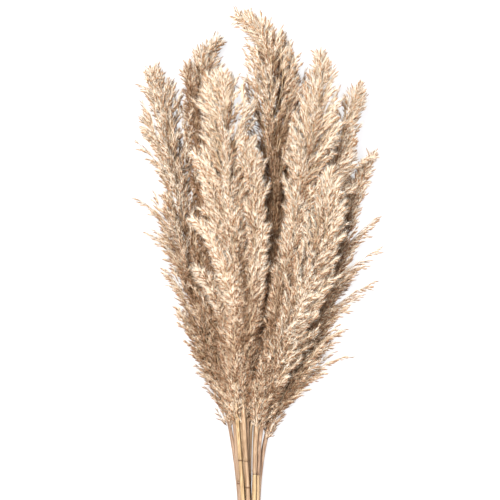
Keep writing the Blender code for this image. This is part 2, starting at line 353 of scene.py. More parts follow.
def twigs(paths, radii, tones):
    """Thin three-sided twigs along the paths, closed at both ends. The radii are those at root and tip."""
    count, steps = paths.shape[:2]
    ways = unit(np.gradient(paths, axis=1))
    side, up = square_to(ways)
    share = np.linspace(0, 1, steps)
    thickness = radii[0] * (1 - share) + radii[1] * share
    rings = []
    for k in range(3):
        angle = math.tau * k / 3
        rings.append(paths + (side * math.cos(angle) + up * math.sin(angle)) * thickness[:, None])
    corners = np.stack(rings, axis=2).reshape(count, steps * 3, 3)
    faces = [(2, 1, 0)]
    for i in range(steps - 1):
        for k in range(3):
            n = (k + 1) % 3
            a, b, c, d = 3 * i + k, 3 * i + n, 3 * i + 3 + n, 3 * i + 3 + k
            faces += [(a, b, c), (a, c, d)]
    last = 3 * (steps - 1)
    faces.append((last, last + 1, last + 2))
    aside = np.array((-UV_HALF, 0.0, UV_HALF))
    rise = TWIG_MAP_START + TWIG_MAP_LENGTH * share[None, :, None] + np.array((0.0, TWIG_MAP_START, 0.0))
    u = np.broadcast_to(tones[:, None, None] + aside, (count, steps, 3))
    v = np.broadcast_to(rise, (count, steps, 3))
    places = np.stack([u, v], axis=-1).reshape(count, steps * 3, 2)
    return packed(corners, np.array(faces), places)


def tube(path, radii, sides):
    """A closed round tube along a path. Its last two corners are the middles of its ends."""
    _, side, up = carried_frame(path)
    angle = math.tau * np.arange(sides) / sides
    spokes = side[:, None] * np.cos(angle)[:, None] + up[:, None] * np.sin(angle)[:, None]
    corners = path[:, None] + np.broadcast_to(radii, len(path))[:, None, None] * spokes
    corners = np.concatenate([corners.reshape(-1, 3), path[:1], path[-1:]])
    k = np.arange(sides)
    n = (k + 1) % sides
    faces = []
    for i in range(len(path) - 1):
        near, far = i * sides, (i + 1) * sides
        faces.append(np.stack([near + k, near + n, far + n], axis=1))
        faces.append(np.stack([near + k, far + n, far + k], axis=1))
    last = (len(path) - 1) * sides
    start, end = len(path) * sides, len(path) * sides + 1
    faces.append(np.stack([np.full(sides, start), n, k], axis=1))
    faces.append(np.stack([np.full(sides, end), last + k, last + n], axis=1))
    return corners, np.concatenate(faces), None


def joined(shapes):
    """One shape from many, which all have map places or all have none."""
    corners, faces, start = [], [], 0
    for own_corners, own_faces, _ in shapes:
        corners.append(own_corners)
        faces.append(own_faces + start)
        start += len(own_corners)
    uvs = None
    if shapes[0][2] is not None:
        uvs = np.concatenate([shape[2] for shape in shapes])
    return np.concatenate(corners), np.concatenate(faces), uvs


def lift_off_table(corners):
    corners[:, 2] = np.maximum(corners[:, 2], LEAST_HEIGHT)


# ---- materials

# Colours for the tones 0, 0.5 and 1, at a piece's root and at its tip
HAIR_ROOTS = ((0.12, 0.052, 0.02), (0.6, 0.375, 0.198), (0.9, 0.69, 0.46))
HAIR_TIPS = ((0.26, 0.13, 0.056), (0.87, 0.7, 0.51), (1.0, 0.955, 0.85))
HUSK_ROOTS = ((0.12, 0.055, 0.026), (0.22, 0.105, 0.05), (0.34, 0.18, 0.09))
HUSK_TIPS = ((0.17, 0.085, 0.042), (0.28, 0.14, 0.07), (0.4, 0.23, 0.12))
TWIG_ROOTS = ((0.33, 0.21, 0.12), (0.45, 0.31, 0.18), (0.56, 0.42, 0.25))
TWIG_TIPS = ((0.36, 0.23, 0.14), (0.48, 0.33, 0.2), (0.58, 0.43, 0.27))
TONE_STOPS = (0.0, 0.5, 1.0)
RISE_AT_BEND = 0.6

# Colours of the streaks along a stem, and of the fibres of the twine
STRAW = ((0.19, 0.108, 0.046), (0.35, 0.235, 0.118), (0.5, 0.37, 0.21))
PINK_STRAW = ((0.14, 0.078, 0.048), (0.26, 0.162, 0.108), (0.38, 0.262, 0.185))
# The colour of the dark joints, and of the painted shade inside a hollow cut end
DARK_STRAW = (0.1, 0.05, 0.025)
STREAK_STOPS = (0.32, 0.5, 0.68)
STREAK_SCALE = (1500, 22, 1500)
STREAK_DETAIL = 3
TWINE = ((0.3, 0.19, 0.09), (0.5, 0.35, 0.19), (0.66, 0.5, 0.3))
TWINE_STOPS = (0.32, 0.5, 0.7)
TWINE_SCALE = 900
TWINE_DETAIL = 4
SPECULAR = 0.25


def new_material(name, roughness):
    material = bpy.data.materials.new(name)
    material.use_nodes = True
    shader = material.node_tree.nodes["Principled BSDF"]
    shader.inputs["Roughness"].default_value = roughness
    shader.inputs["Specular IOR Level"].default_value = SPECULAR
    return material, material.node_tree, shader


def ramp(tree, source, colours, stops):
    """Colours that follow a value, each reached at its stop."""
    node = tree.nodes.new("ShaderNodeValToRGB")
    elements = node.color_ramp.elements
    for element, k in zip(elements, (0, -1)):
        element.position = stops[k]
        element.color = (*colours[k], 1)
    for stop, colour in zip(stops[1:-1], colours[1:-1]):
        elements.new(stop).color = (*colour, 1)
    tree.links.new(source, node.inputs["Fac"])
    return node.outputs["Color"]


def noise(tree, source, scale, detail):
    node = tree.nodes.new("ShaderNodeTexNoise")
    node.inputs["Scale"].default_value = scale
    node.inputs["Detail"].default_value = detail
    tree.links.new(source, node.inputs["Vector"])
    return node.outputs["Fac"]


def mixed(tree, factor, first, second):
    """The first colour, giving way to the second as the factor rises. The second may be plain numbers."""
    mix = tree.nodes.new("ShaderNodeMix")
    mix.data_type = "RGBA"
    tree.links.new(factor, mix.inputs["Factor"])
    tree.links.new(first, mix.inputs["A"])
    if isinstance(second, tuple):
        mix.inputs["B"].default_value = (*second, 1)
    else:
        tree.links.new(second, mix.inputs["B"])
    return mix.outputs["Result"]


def tone_material(name, roots, tips, roughness, bend):
    """Colour by tone across the map, and from root to tip up it, with most of the change below the bend."""
    material, tree, shader = new_material(name, roughness)
    coords = tree.nodes.new("ShaderNodeUVMap")
    coords.uv_map = UV_MAP
    split = tree.nodes.new("ShaderNodeSeparateXYZ")
    tree.links.new(coords.outputs["UV"], split.inputs["Vector"])
    root = ramp(tree, split.outputs["X"], roots, TONE_STOPS)
    tip = ramp(tree, split.outputs["X"], tips, TONE_STOPS)
    greys = ((0, 0, 0), (RISE_AT_BEND, RISE_AT_BEND, RISE_AT_BEND), (1, 1, 1))
    rise = ramp(tree, split.outputs["Y"], greys, (0.0, bend, 1.0))
    tree.links.new(mixed(tree, rise, root, tip), shader.inputs["Base Color"])
    return material


def straw_material():
    """Straw with fine streaks. The shade attribute holds darkness in its red, from dark joints and from
    painted shade in the hollow ends, and pinkness in its green.
    """
    material, tree, shader = new_material("straw", 0.42)
    shade = tree.nodes.new("ShaderNodeAttribute")
    shade.attribute_name = "shade"
    parts = tree.nodes.new("ShaderNodeSeparateColor")
    tree.links.new(shade.outputs["Color"], parts.inputs["Color"])
    coords = tree.nodes.new("ShaderNodeTexCoord")
    stretch = tree.nodes.new("ShaderNodeMapping")
    stretch.inputs["Scale"].default_value = STREAK_SCALE
    tree.links.new(coords.outputs["Object"], stretch.inputs["Vector"])
    streaks = noise(tree, stretch.outputs["Vector"], 1.0, STREAK_DETAIL)
    straw = ramp(tree, streaks, STRAW, STREAK_STOPS)
    pink = ramp(tree, streaks, PINK_STRAW, STREAK_STOPS)
    colour = mixed(tree, parts.outputs["Green"], straw, pink)
    colour = mixed(tree, parts.outputs["Red"], colour, DARK_STRAW)
    tree.links.new(colour, shader.inputs["Base Color"])
    return material


def twine_material():
    material, tree, shader = new_material("jute_twine", 0.85)
    coords = tree.nodes.new("ShaderNodeTexCoord")
    fibres = noise(tree, coords.outputs["Object"], TWINE_SCALE, TWINE_DETAIL)
    tree.links.new(ramp(tree, fibres, TWINE, TWINE_STOPS), shader.inputs["Base Color"])
    return material


def make_materials():
    return {
        "twigs": tone_material("thin_twig", TWIG_ROOTS, TWIG_TIPS, roughness=0.6, bend=0.5),
        "husks": tone_material("dry_husk", HUSK_ROOTS, HUSK_TIPS, roughness=0.6, bend=0.4),
        "hairs": tone_material("silky_hair", HAIR_ROOTS, HAIR_TIPS, roughness=0.7, bend=0.35),
        "straw": straw_material(),
        "twine": twine_material(),
    }


# ---- plumes

TIP_RADIUS = 0.0015
TAPER_CURVE = 0.95
TIP_HAIR = 0.013  # room at the tip for the last tufts
HAIR_REACH = 0.0035  # how far the hairs stand out beyond their branchlet
STALK_END = 0.985  # of the centre line
STALK_STEPS = 30
STALK_TWIG = (0.0014, 0.0003)
STALK_TONE = 0.3

BRANCHES_PER_METRE = 215
BRANCH_STEPS = 8
BRANCH_TWIG = (0.00042, 0.00016)
BELOW_BASE = 0.014  # the lowest branches leave the stem this far below the plume
LAST_BRANCH = 0.97  # share of the span where it leaves
LOW_BRANCH = 0.086  # length of a branch at the base
BRANCH_LOSS = 0.040  # how much shorter one at the tip is
BRANCH_LENGTHS = (0.6, 1.1)
BRANCH_ENDS = (0.55, 1.0)  # share of the room ahead that it may fill
BRANCH_SPARE = 0.003
RIM = 1.12  # of the plume's radius, before the hairs' reach is taken off
LEAST_RIM = 0.0005
LEAST_REACH = 0.12  # of the rim
REACH_SPREAD = 0.93
REACH_CURVE = 0.7
BRANCH_CURVE = 0.75
BRANCH_WANDER = 0.18

BRANCHLET_TWIG = (0.00022, 0.00010)
BRANCHLET_SPACING = 0.0068
CLOSE_SPACING = 0.0016  # between the branchlets that leave the stalk itself
BRANCHLET_STEPS = 4
BRANCHLET_LIMITS = (0.009, 0.021)  # for the longest of a plume
BRANCHLET_WIDTH_RATIO = 1.3  # the longest branchlet to the plume's widest radius
BRANCHLET_LOSS = 0.45
BRANCHLET_LENGTHS = (0.65, 1.1)
BRANCHLET_ROOM = (0.6, 1.0)
BRANCHLET_LEAN = (0.15, 0.50)
OUTWARD_LEAN = 0.30
FIRST_BRANCHLET = 0.04
TIP_CLEARANCE = 0.004
LEAST_ROOM_AHEAD = 0.006
LEAST_ROOM_AROUND = 0.005
ROOM_AROUND = 0.9  # of the plume's radius

SPIKELET_SPACING = 0.0022
SPIKELET_LEAN = (0.08, 0.42)
LEVELLING = 0.6  # tufts lie flatter once the bundle is laid down

BASE_TUFTS = 46
BASE_TONE = 0.52
BASE_HAIR = 1.25
BASE_STARTS = (-0.022, 0.030)  # from the plume's start
BASE_LENGTHS = (0.012, 0.024)
BASE_REACH = (0.002, 0.0075)
BASE_ROOT = 0.0014
BASE_CURVE = 0.9

TONE_SPREAD = 0.17  # from one tuft to the next
BRANCH_TONE = 0.15  # from one branch to the next
DEPTH_PAINTED_SHADE = 0.60  # painted shade: how much darker the tufts at the stalk are than those at the plume's surface
EVEN_DEPTH = 0.75  # how far out the tufts are that get neither darker nor paler
FARTHEST_OUT = 1.2
TWIG_TONES = (0.1, 0.9)


def envelope(stalk, at, look):
    """The radius of the plume's hairs at these arc lengths of its stalk."""
    full = np.interp(stalk.plume_share(at), LOOK_STEPS, look.widths)
    return TIP_RADIUS + full * np.clip((stalk.length - at) / look.taper, 0, 1) ** TAPER_CURVE


def branchlet_room(stalk, places, look):
    """The longest that a branchlet may be at each place, less where the plume is slim and near its tip."""
    ahead = np.linalg.norm(places - stalk.points[-1], axis=1) - TIP_CLEARANCE
    around = LEAST_ROOM_AROUND + ROOM_AROUND * envelope(stalk, nearest_on(stalk, places)[0], look)
    return np.minimum(np.maximum(ahead, LEAST_ROOM_AHEAD), around)


def spread_along(lengths, spacing, least, rng, first=0.0):
    """Row numbers and shares of the length for things set along paths, at least so many on each path."""
    each = np.maximum(least, np.round(lengths / spacing)).astype(int)
    row = np.repeat(np.arange(len(lengths)), each)
    rank = np.arange(len(row)) - np.repeat(np.cumsum(each) - each, each)
    return row, first + (1 - first) * (rank + rng.random(len(row))) / each[row]


def main_branches(stalk, look, rng):
    """Paths of the branches that leave the plume's stalk and run up beside it."""
    first = stalk.plume_start - BELOW_BASE
    span = stalk.length - TIP_HAIR - first
    count = round(BRANCHES_PER_METRE * look.density * span)
    start = first + span * (np.arange(count) + rng.random(count)) / count * LAST_BRANCH
    share = (start - first) / span
    length = (LOW_BRANCH - BRANCH_LOSS * share) * rng.uniform(*BRANCH_LENGTHS, count)
    length = np.minimum(length, (first + span - start) * rng.uniform(*BRANCH_ENDS, count) + BRANCH_SPARE)
    turn = rng.uniform(0, math.tau, count)
    reach = LEAST_REACH + REACH_SPREAD * rng.random(count) ** REACH_CURVE
    u = np.linspace(0, 1, BRANCH_STEPS)[None]
    at = start[:, None] + length[:, None] * u
    rim = np.maximum(RIM * envelope(stalk, at, look) - HAIR_REACH, LEAST_RIM)
    off = reach[:, None] * rim * u**BRANCH_CURVE
    wander = rng.normal(0, BRANCH_WANDER, count)[:, None] * u
    return stalk.place(at, off, turn[:, None] + wander), length


def side_branches(paths, lengths, spacing, longest, stalk, rng, look=None):
    """Short branchlets along paths, leaning away from them and from the stalk, and kept to a look's room."""
    row, share = spread_along(lengths, spacing, 3, rng, FIRST_BRANCHLET)
    roots, ways = along_path(paths, row, share)
    length = longest * (1 - BRANCHLET_LOSS * share) * rng.uniform(*BRANCHLET_LENGTHS, len(row))
    if look is not None:
        room = branchlet_room(stalk, roots, look)
        length = np.minimum(length, room * rng.uniform(*BRANCHLET_ROOM, len(row)))
    lean = rng.uniform(*BRANCHLET_LEAN, len(row))
    turn = rng.uniform(0, math.tau, len(row))
    outward = nearest_on(stalk, roots)[1]
    first = unit(tilted(ways, lean, turn) + outward * OUTWARD_LEAN)
    last = unit(first * 0.85 + ways * 0.35)
    u = np.linspace(0, 1, BRANCHLET_STEPS)[None, :, None]
    bend = first[:, None] * (u - 0.5 * u**2) + last[:, None] * 0.5 * u**2
    return roots[:, None] + length[:, None, None] * bend, length, row


def spikelets(paths, lengths, rng):
    """Where each spikelet sits on its branchlet, which way it points, and its branchlet's row number."""
    row, share = spread_along(lengths, SPIKELET_SPACING, 2, rng)
    roots, ways = along_path(paths, row, share)
    ways = tilted(ways, rng.uniform(*SPIKELET_LEAN, len(row)), rng.uniform(0, math.tau, len(row)))
    return roots, unit(ways * (1.0, 1.0, LEVELLING)), row


def base_tufts(stalk, rng):
    """Short branchlets low on the plume, which hide the top of its stem."""
    start = stalk.plume_start + rng.uniform(*BASE_STARTS, BASE_TUFTS)
    length = rng.uniform(*BASE_LENGTHS, BASE_TUFTS)
    u = np.linspace(0, 1, BRANCHLET_STEPS)[None]
    at = start[:, None] + length[:, None] * u
    off = BASE_ROOT + rng.uniform(*BASE_REACH, BASE_TUFTS)[:, None] * u**BASE_CURVE
    turn = rng.uniform(0, math.tau, BASE_TUFTS)
    return stalk.place(at, off, turn[:, None]), length


def tones_with_depth_shade(stalk, places, look):
    """The look's tone at each place, with painted shade: darker near the stalk than at the plume's surface.
    """
    at, _, apart = nearest_on(stalk, places)
    out = np.clip(apart / envelope(stalk, at, look), 0, FARTHEST_OUT)
    # Painted shade: the nearer a tuft sits to the stalk, the darker its colour.
    return np.interp(stalk.plume_share(at), LOOK_STEPS, look.tones) + DEPTH_PAINTED_SHADE * (out - EVEN_DEPTH)


# ---- long branches and second tips

SPRAY_TWIG = (0.00050, 0.00018)
SPRAY_TONES = (0.1, 0.5)
SPRAY_HAIR = 0.010  # room for the last tufts beyond the end of a long branch
SPRAY_BEND = 0.40  # the share of its length over which it still follows the stalk


class Spray(NamedTuple):
    """A long branch, which leaves the stalk this far behind its tip."""

    tip: tuple
    back: float


class SprayKind(NamedTuple):
    """Long branches by plume, and how they are set with branchlets and tufts."""

    sprays: dict
    spacing: float
    longest: float
    hair: float
    lift: float  # of the tone over that of the plume's tip


SPRAYS = {
    "01": (
        Spray((-0.102, 0.221, 0.016), 0.05),
        Spray((-0.106, 0.202, 0.014), 0.062),
        Spray((-0.1035, 0.155, 0.012), 0.062),
        Spray((-0.093, 0.125, 0.012), 0.055),
        Spray((-0.0835, 0.0935, 0.01), 0.05),
        Spray((-0.0735, 0.0625, 0.01), 0.05),
        Spray((-0.057, 0.03, 0.01), 0.045),
    ),
    "14": (Spray((-0.053, 0.013, 0.012), 0.045),),
    "09": (Spray((0.095, 0.1925, 0.025), 0.05),),
    "10": (
        Spray((0.0985, 0.1405, 0.02), 0.055),
        Spray((0.0985, 0.113, 0.018), 0.06),
        Spray((0.0955, 0.086, 0.016), 0.06),
        Spray((0.0725, 0.064, 0.016), 0.05),
        Spray((0.0735, 0.0245, 0.014), 0.05),
        Spray((0.053, 0.011, 0.014), 0.045),
        Spray((0.04, 0.0, 0.014), 0.04),
        Spray((0.09, 0.129, 0.02), 0.05),
        Spray((0.087, 0.1, 0.018), 0.055),
        Spray((0.083, 0.075, 0.016), 0.055),
        Spray((0.07, 0.048, 0.016), 0.05),
        Spray((0.062, 0.035, 0.014), 0.045),
    ),
    "07": (Spray((0.027, 0.274, 0.05), 0.06),),
}
SECOND_TIPS = {
    "05": (Spray((0.0025, 0.134, 0.07), 0.075),),
    "14": (Spray((-0.056, 0.096, 0.04), 0.045),),
}
SPRAY_KINDS = (
    SprayKind(SPRAYS, spacing=0.0036, longest=0.014, hair=0.75, lift=-0.40),
    SprayKind(SECOND_TIPS, spacing=0.0015, longest=0.010, hair=1.2, lift=0.15),
)


def spray_paths(stalk, sprays):
    """Paths of long branches that stand out from a plume's side, each from its stalk to its tip."""
    paths = []
    for spray in sprays:
        tip = np.array(spray.tip)
        root_at = np.interp(tip[1] - spray.back, stalk.points[:, 1], stalk.at)
        root = stalk.place(root_at)
        tip = tip - unit(tip - root) * SPRAY_HAIR
        bend = root + stalk.read(stalk.ways, root_at) * SPRAY_BEND * np.linalg.norm(tip - root)
        u = np.linspace(0, 1, BRANCH_STEPS)[:, None]
        paths.append(root * (1 - u) ** 2 + 2 * bend * u * (1 - u) + tip * u**2)
    return np.array(paths)


# ---- growing and dressing a plume

class Tufts(NamedTuple):
    """Spikelets of one group: their roots, directions and tones, and how full of hair they are."""

    roots: np.ndarray
    ways: np.ndarray
    tones: np.ndarray
    hair: float


class Plume(NamedTuple):
    """What grows on one stalk: groups of tufts, and the shapes of its woody parts."""

    name: str
    look: Look
    stalk: Stalk
    groups: list
    wood: list


def grow_plume(name, look, rng):
    stalk = Stalk(name)
    inside = np.linspace(stalk.plume_start, stalk.length * STALK_END, STALK_STEPS)
    stem = stalk.place(inside)[None]
    longest = float(np.clip(BRANCHLET_WIDTH_RATIO * max(look.widths), *BRANCHLET_LIMITS))
    branches, lengths = main_branches(stalk, look, rng)
    far, far_lengths, parent = side_branches(branches, lengths, BRANCHLET_SPACING, longest, stalk, rng, look)
    stem_lengths = np.array([inside[-1] - inside[0]])
    close, close_lengths, _ = side_branches(stem, stem_lengths, CLOSE_SPACING, longest, stalk, rng, look)
    branchlets = np.concatenate([far, close])
    branch_tones = rng.normal(0, BRANCH_TONE, len(branches))
    branchlet_tones = np.concatenate([branch_tones[parent], rng.normal(0, BRANCH_TONE, len(close))])
    roots, ways, parent = spikelets(branchlets, np.concatenate([far_lengths, close_lengths]), rng)
    base, base_lengths = base_tufts(stalk, rng)
    tones = tones_with_depth_shade(stalk, roots, look) + branchlet_tones[parent]
    groups = [Tufts(roots, ways, tones + rng.normal(0, TONE_SPREAD, len(roots)), look.hair)]
    roots, ways, _ = spikelets(base, base_lengths, rng)
    groups.append(Tufts(roots, ways, BASE_TONE + rng.normal(0, TONE_SPREAD, len(roots)), BASE_HAIR))
    wood = [twigs(stem, STALK_TWIG, np.array([STALK_TONE]))]
    wood.append(twigs(branches, BRANCH_TWIG, rng.uniform(*TWIG_TONES, len(branches))))
    wood.append(twigs(branchlets, BRANCHLET_TWIG, rng.uniform(*TWIG_TONES, len(branchlets))))
    plume = Plume(name, look, stalk, groups, wood)
    for kind in SPRAY_KINDS:
        if name in kind.sprays:
            add_sprays(plume, kind, rng)
    return plume


def add_sprays(plume, kind, rng):
    """Grow long branches of one kind on a plume."""
    paths = spray_paths(plume.stalk, kind.sprays[plume.name])
    lengths = np.linalg.norm(np.diff(paths, axis=1), axis=2).sum(axis=1)
    short, short_lengths, _ = side_branches(paths, lengths, kind.spacing, kind.longest, plume.stalk, rng)
    roots, ways, _ = spikelets(short, short_lengths, rng)
    tones = plume.look.tones[-1] + kind.lift + rng.normal(0, TONE_SPREAD, len(roots))
    plume.groups.append(Tufts(roots, ways, tones, kind.hair))
    plume.wood.append(twigs(paths, SPRAY_TWIG, rng.uniform(*SPRAY_TONES, len(paths))))
    plume.wood.append(twigs(short, BRANCHLET_TWIG, rng.uniform(*SPRAY_TONES, len(short))))


# Painted shade: tufts that lie below the bundle's evened-out top are coloured darker, as if shaded by the
# tufts above them.
CELL = 0.003  # of the grid that holds the bundle's top
MARGIN_CELLS = 10
EVEN_CELLS = 9  # how many cells to each side are evened out
EVEN_REACH = 0.008
CROWD_SHADE_DEPTH = 0.020  # the depth at which a tuft gets the whole painted crowd shade
CROWD_PAINTED_SHADE = 0.54
CROWD_LIMITS = (-0.5, 1.6)


def crowd_shade_depths(plumes):
    """How far below the bundle's evened-out top each tuft lies, as one list of values for each group. It sets
    how much painted shade each tuft gets.
    """
    places = np.concatenate([tufts.roots for plume in plumes for tufts in plume.groups])
    least = places[:, :2].min(axis=0) - MARGIN_CELLS * CELL
    size = np.ceil((places[:, :2].max(axis=0) - least) / CELL).astype(int) + MARGIN_CELLS
    cells = ((places[:, :2] - least) / CELL).astype(int)
    top = np.zeros(size)
    np.maximum.at(top, (cells[:, 0], cells[:, 1]), places[:, 2])
    even = top.copy()
    for i in (-1, 0, 1):
        for j in (-1, 0, 1):
            even = np.maximum(even, np.roll(top, (i, j), axis=(0, 1)))
    steps = np.arange(-EVEN_CELLS, EVEN_CELLS + 1) * CELL
    weights = np.exp(-((steps / EVEN_REACH) ** 2) / 2)
    weights /= weights.sum()
    for axis in (0, 1):
        even = np.apply_along_axis(np.convolve, axis, even, weights, mode="same")
    depth = np.clip((even[cells[:, 0], cells[:, 1]] - places[:, 2]) / CROWD_SHADE_DEPTH, *CROWD_LIMITS)
    values, first = [], 0
    for plume in plumes:
        rows = []
        for tufts in plume.groups:
            rows.append(depth[first:first + len(tufts.roots)])
            first += len(tufts.roots)
        values.append(rows)
    return values


TONE_LIMITS = (0.02, 0.98)
HUSK_TONE_SPREAD = 0.15
HUSK_LENGTHS = (0.0046, 0.0070)
HUSK_WIDTHS = (0.0009, 0.0014)
HUSK_LEAN = (0.25, 0.65)  # outwards, so that husks show on the outside of their tufts
HUSK_STARTS = (0.0, 0.0014)
HAIRS_EACH = 12
HAIR_STARTS = (0.0, 0.0030)
HAIR_LENGTHS = (0.0034, 0.0080)
HAIR_WIDTHS = (0.00015, 0.00026)
HAIR_LEAN = 0.08
HAIR_LEAN_SPREAD = 0.20
HAIR_TONE_SPREAD = 0.12
STRAY_SHARE = 0.15  # of the hairs, which stand out more and are paler
STRAY_LEAN = 0.45
STRAY_TONE = 0.20


def spikelet_shapes(tufts, outward, tones, rng):
    """A husk and a tuft of hairs for each spikelet, as two shapes."""
    roots, ways, _, hair = tufts
    count = len(roots)
    husk_tones = np.clip(tones + rng.normal(0, HUSK_TONE_SPREAD, count), *TONE_LIMITS)
    husk_lengths = rng.uniform(*HUSK_LENGTHS, count)
    husk_ways = unit(ways + outward * rng.uniform(*HUSK_LEAN, count)[:, None])
    husk_roots = roots + ways * rng.uniform(*HUSK_STARTS, count)[:, None]
    husk_widths = rng.uniform(*HUSK_WIDTHS, count)
    each = np.maximum(2, rng.poisson(HAIRS_EACH * hair, count))
    row = np.repeat(np.arange(count), each)
    total = len(row)
    hair_roots = roots[row] + ways[row] * rng.uniform(*HAIR_STARTS, total)[:, None]
    stray = rng.random(total) < STRAY_SHARE
    lean = HAIR_LEAN + np.abs(rng.normal(0, HAIR_LEAN_SPREAD, total)) + STRAY_LEAN * stray
    hair_ways = tilted(ways[row], lean, rng.uniform(0, math.tau, total))
    hair_lengths = rng.uniform(*HAIR_LENGTHS, total)
    hair_widths = rng.uniform(*HAIR_WIDTHS, total)
    hair_tones = tones[row] + rng.normal(0, HAIR_TONE_SPREAD, total) + STRAY_TONE * stray
    husk_shape = husks(husk_roots, husk_ways, husk_lengths, husk_widths, husk_tones)
    hair_shape = needles(hair_roots, hair_ways, hair_lengths, hair_widths, np.clip(hair_tones, *TONE_LIMITS))
    return husk_shape, hair_shape


CEILING = 0.0905  # no hair reaches higher
CEILING_EASE = 0.016
SIDE_LIMIT = 0.1115  # nor farther out
SIDE_EASE = 0.006
ON_TABLE = (0.0002, 0.0012)


def bent_back(values, limit, ease):
    """How much to add to values so that those near the limit ease up to it and never pass it."""
    over = np.maximum(values - limit + ease, 0)
    return ease * (1 - np.exp(-over / ease)) - over


def kept_in(corners, rng):
    """Corners that would be in the table are laid on it, and those near the limits are bent back."""
    corners[:, 2] = np.maximum(corners[:, 2], rng.uniform(*ON_TABLE, len(corners)))
    corners[:, 2] += bent_back(corners[:, 2], CEILING, CEILING_EASE)
    corners[:, 0] += np.sign(corners[:, 0]) * bent_back(np.abs(corners[:, 0]), SIDE_LIMIT, SIDE_EASE)
    return corners


MOST_FACES = 190000  # in one piece
HAIR_FACES = len(NEEDLE_FACES)


def dress_plume(plume, shade_depths, materials, rng):
    """The meshes of a plume, with painted shade: tufts are darker where the bundle is deep. Many hairs make
    two pieces.
    """
    husk_shapes, hair_shapes = [], []
    for tufts, depth in zip(plume.groups, shade_depths):
        # Painted shade: tufts that lie deep in the bundle are coloured darker.
        tones = np.clip(tufts.tones - CROWD_PAINTED_SHADE * depth, 0.0, TONE_LIMITS[1])
        outward = nearest_on(plume.stalk, tufts.roots)[1]
        husk_shape, hair_shape = spikelet_shapes(tufts, outward, tones, rng)
        husk_shapes.append(husk_shape)
        hair_shapes.append(hair_shape)
    for part, shapes in (("twigs", plume.wood), ("husks", husk_shapes), ("hairs", hair_shapes)):
        corners, faces, uvs = joined(shapes)
        corners = kept_in(corners, rng)
        places = uvs.reshape(len(faces), 3, 2)
        unbroken = HAIR_FACES if part == "hairs" else 1
        lots = math.ceil(len(faces) / MOST_FACES)
        cuts = [len(faces) // unbroken * lot // lots * unbroken for lot in range(lots + 1)]
        for lot in range(lots):
            chosen = faces[cuts[lot]:cuts[lot + 1]]
            low, high = chosen.min(), chosen.max() + 1
            shape = corners[low:high], chosen - low, places[cuts[lot]:cuts[lot + 1]].reshape(-1, 2)
            name = f"plume_{plume.name}_{part}"
            if lots > 1:
                name += "_" + "abcdef"[lot]
            mesh_piece(name, shape, materials[part], "plume_" + plume.name)


# ---- stems

CANE_SIDES = 16
CANE_STEP = 0.0030
CANE_RADII = (0.00200, 0.00150)  # at the cut end and at the plume
INTO_PLUME = 0.004
JOINT_STEPS = (-0.0016, -0.0009, -0.0004, 0.0, 0.0005, 0.0012)
JOINT_CLEARANCE = 0.0025
SWELLING = 0.00030
GROOVE = 0.00008
RING_DARK = 0.95
BELOW_RING_DARK = 0.22
HOLLOW_DEPTH = 0.0025
HOLLOW_RADII = (0.0009, 0.0012)  # at its floor and at its rim
# Painted shade inside the hollow cut end, darkest at its floor and fading towards its rim
HOLLOW_PAINTED_SHADE = (0.9, 0.35)
HOLLOW_FLOOR_PAINTED_SHADE = 0.95
PINKNESS = (0.05, 0.25, 0.60, 0.90)
PINKNESS_CHANCES = (0.35, 0.25, 0.2, 0.2)

SHEATHED = ("02", "04", "05", "06", "08", "10", "11", "12", "14")
SHEATH_STEPS = 26
SHEATH_TOPS = (-0.006, 0.012)  # below the plume's start
SHEATH_LENGTHS = (0.045, 0.095)
SHEATH_PINKNESS = (0.5, 1.0)
SHEATH_GAP = 0.00022
SHEATH_FLARE = 0.00018
SHEATH_EDGES = (0.00006, 0.00012)  # how far its low and high edges stand off the stem
SHEATH_SLANT = 0.009
SHEATH_RAGGED = 0.0012


def bell(values, middle, width):
    """A smooth bump, 1 high."""
    return np.exp(-(((values - middle) / width) ** 2))


def straw_shades(corners, dark, pink, painted_floor_shade=0.0):
    """The shade attribute of a stem's tube: how dark each corner is, and how pink the tube is. The middle of
    its first end gets the painted shade of a hollow floor.
    """
    shades = np.zeros((len(corners), 4))
    shades[:-2, 0] = dark
    shades[-2, 0] = painted_floor_shade
    shades[:, 1] = pink
    shades[:, 3] = 1
    return shades


def cane_steps(joints, end):
    """Arc lengths from the cut end to the plume, closer together at the joints."""
    at = np.arange(0.0, end, CANE_STEP)
    clear = np.abs(at[:, None] - joints[None]).min(axis=1) > JOINT_CLEARANCE
    close = joints[:, None] + np.array(JOINT_STEPS)[None]
    at = np.unique(np.concatenate([at[clear], close.ravel(), [end]]))
    return at[(at >= 0) & (at <= end)]


def make_stem(name, stalk, materials, rng):
    """A jointed cane from its hollow cut end to the plume, with a leaf sheath on some."""
    end = stalk.plume_start + INTO_PLUME
    at = cane_steps(stalk.joint_at, end)
    apart = at[:, None] - stalk.joint_at[None]
    offset = apart[np.arange(len(at)), np.abs(apart).argmin(axis=1)]
    swelling = SWELLING * bell(offset, 0.0002, 0.0006)
    radii = np.interp(at, (0, end), CANE_RADII) + swelling - GROOVE * bell(offset, -0.0012, 0.0005)
    dark = RING_DARK * bell(offset, 0.0, 0.00075) + BELOW_RING_DARK * bell(offset, -0.006, 0.006)
    # The cut end turns in over a thin wall and down into the hollow, which is coloured dark as painted shade.
    path = np.concatenate([stalk.place(np.array((HOLLOW_DEPTH, 0.0))), stalk.place(at)])
    radii = np.concatenate([HOLLOW_RADII, radii])
    dark = np.concatenate([HOLLOW_PAINTED_SHADE, dark])
    cane = tube(path, radii, CANE_SIDES)
    pink = float(rng.choice(PINKNESS, p=PINKNESS_CHANCES))
    shades = straw_shades(cane[0], np.repeat(dark, CANE_SIDES), pink, HOLLOW_FLOOR_PAINTED_SHADE)
    lift_off_table(cane[0])
    mesh_piece(f"stem_{name}_cane", cane, materials["straw"], "stem_" + name, shades)
    if name in SHEATHED:
        make_sheath(name, stalk, materials, rng)


